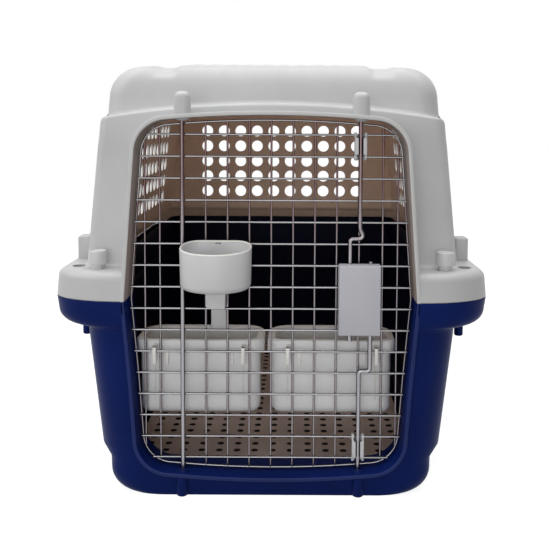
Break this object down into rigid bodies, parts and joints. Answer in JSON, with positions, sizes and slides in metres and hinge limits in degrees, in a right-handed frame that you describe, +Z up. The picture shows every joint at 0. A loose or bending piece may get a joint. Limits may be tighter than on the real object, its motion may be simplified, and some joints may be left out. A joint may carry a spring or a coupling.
{
  "type": "airline pet crate",
  "caption": "Hard pet travel crate: two moulded shells joined at a flange, vented upper walls, hinged wire door with sprung latch rods, hanging bowls with lids, water funnel and floor mat.",
  "frame": {"origin": "the floor, under the middle of the shells in plan; the funnel reaches further forward than the shells do", "axes": "+Z up, -Y out of the door, +X to the right when facing the door"},
  "size_m": [0.506, 0.7461, 0.5117],
  "materials": {
    "light_plastic": "fine satin grain, light grey",
    "navy_plastic": "semi-gloss navy",
    "taupe_plastic": "matt taupe",
    "white_plastic": "satin off-white",
    "bright_steel": "bright drawn wire"
  },
  "bodies": {
    "shell": {"base_shell": "navy_plastic", "top_shell": "light_plastic", "floor_mat": "taupe_plastic", "back_right_knob": "white_plastic", "back_left_knob": "white_plastic", "front_left_knob": "white_plastic", "front_right_knob": "white_plastic", "back_right_bolt": "white_plastic", "back_left_bolt": "white_plastic", "front_left_bolt": "white_plastic", "front_right_bolt": "white_plastic", "back_right_clamp_post": "light_plastic", "back_left_clamp_post": "light_plastic", "front_left_clamp_post": "light_plastic", "front_right_clamp_post": "light_plastic"},
    "door": {"door_grid": "bright_steel", "hinge_rod": "bright_steel", "latch_case": "white_plastic", "latch_back_plate": "white_plastic", "upper_latch_screw": "bright_steel", "lower_latch_screw": "bright_steel", "upper_latch_spring": "bright_steel", "lower_latch_spring": "bright_steel", "upper_rod_guide": "white_plastic", "lower_rod_guide": "white_plastic"},
    "upper_latch": {"upper_latch_rod": "bright_steel", "upper_rod_bracket": "white_plastic"},
    "lower_latch": {"lower_latch_rod": "bright_steel", "lower_rod_bracket": "white_plastic"},
    "left_bowl_body": {"left_bowl": "white_plastic"},
    "left_lid_body": {"left_bowl_lid": "white_plastic"},
    "right_bowl_body": {"right_bowl": "white_plastic"},
    "right_lid_body": {"right_bowl_lid": "white_plastic"},
    "funnel": {"water_funnel": "white_plastic"}
  },
  "joints": [
    {"name": "door_swing", "type": "hinge", "parent": "shell", "child": "door", "pos_m": [-0.101, -0.336, 0.229], "axis": [0, 0, -1], "range_deg": [0, 90]},
    {"name": "upper_latch_slide", "type": "slide", "parent": "door", "child": "upper_latch", "axis": [0, 0, -1], "range_m": [0, 0.018], "stiffness_N_per_m": 300, "springref_m": -0.01, "deforming": ["upper_latch_spring"]},
    {"name": "lower_latch_slide", "type": "slide", "parent": "door", "child": "lower_latch", "axis": [0, 0, 1], "range_m": [0, 0.018], "stiffness_N_per_m": 300, "springref_m": -0.01, "deforming": ["lower_latch_spring"]},
    {"name": "left_bowl_lift", "type": "slide", "parent": "door", "child": "left_bowl_body", "axis": [0, 0, 1], "range_m": [0, 0.01]},
    {"name": "left_lid_lift", "type": "slide", "parent": "left_bowl_body", "child": "left_lid_body", "axis": [0, 0, 1], "range_m": [0, 0.01]},
    {"name": "right_bowl_lift", "type": "slide", "parent": "door", "child": "right_bowl_body", "axis": [0, 0, 1], "range_m": [0, 0.01]},
    {"name": "right_lid_lift", "type": "slide", "parent": "right_bowl_body", "child": "right_lid_body", "axis": [0, 0, 1], "range_m": [0, 0.01]},
    {"name": "funnel_lift", "type": "slide", "parent": "door", "child": "funnel", "axis": [0, 0, 1], "range_m": [0, 0.008]}
  ]
}
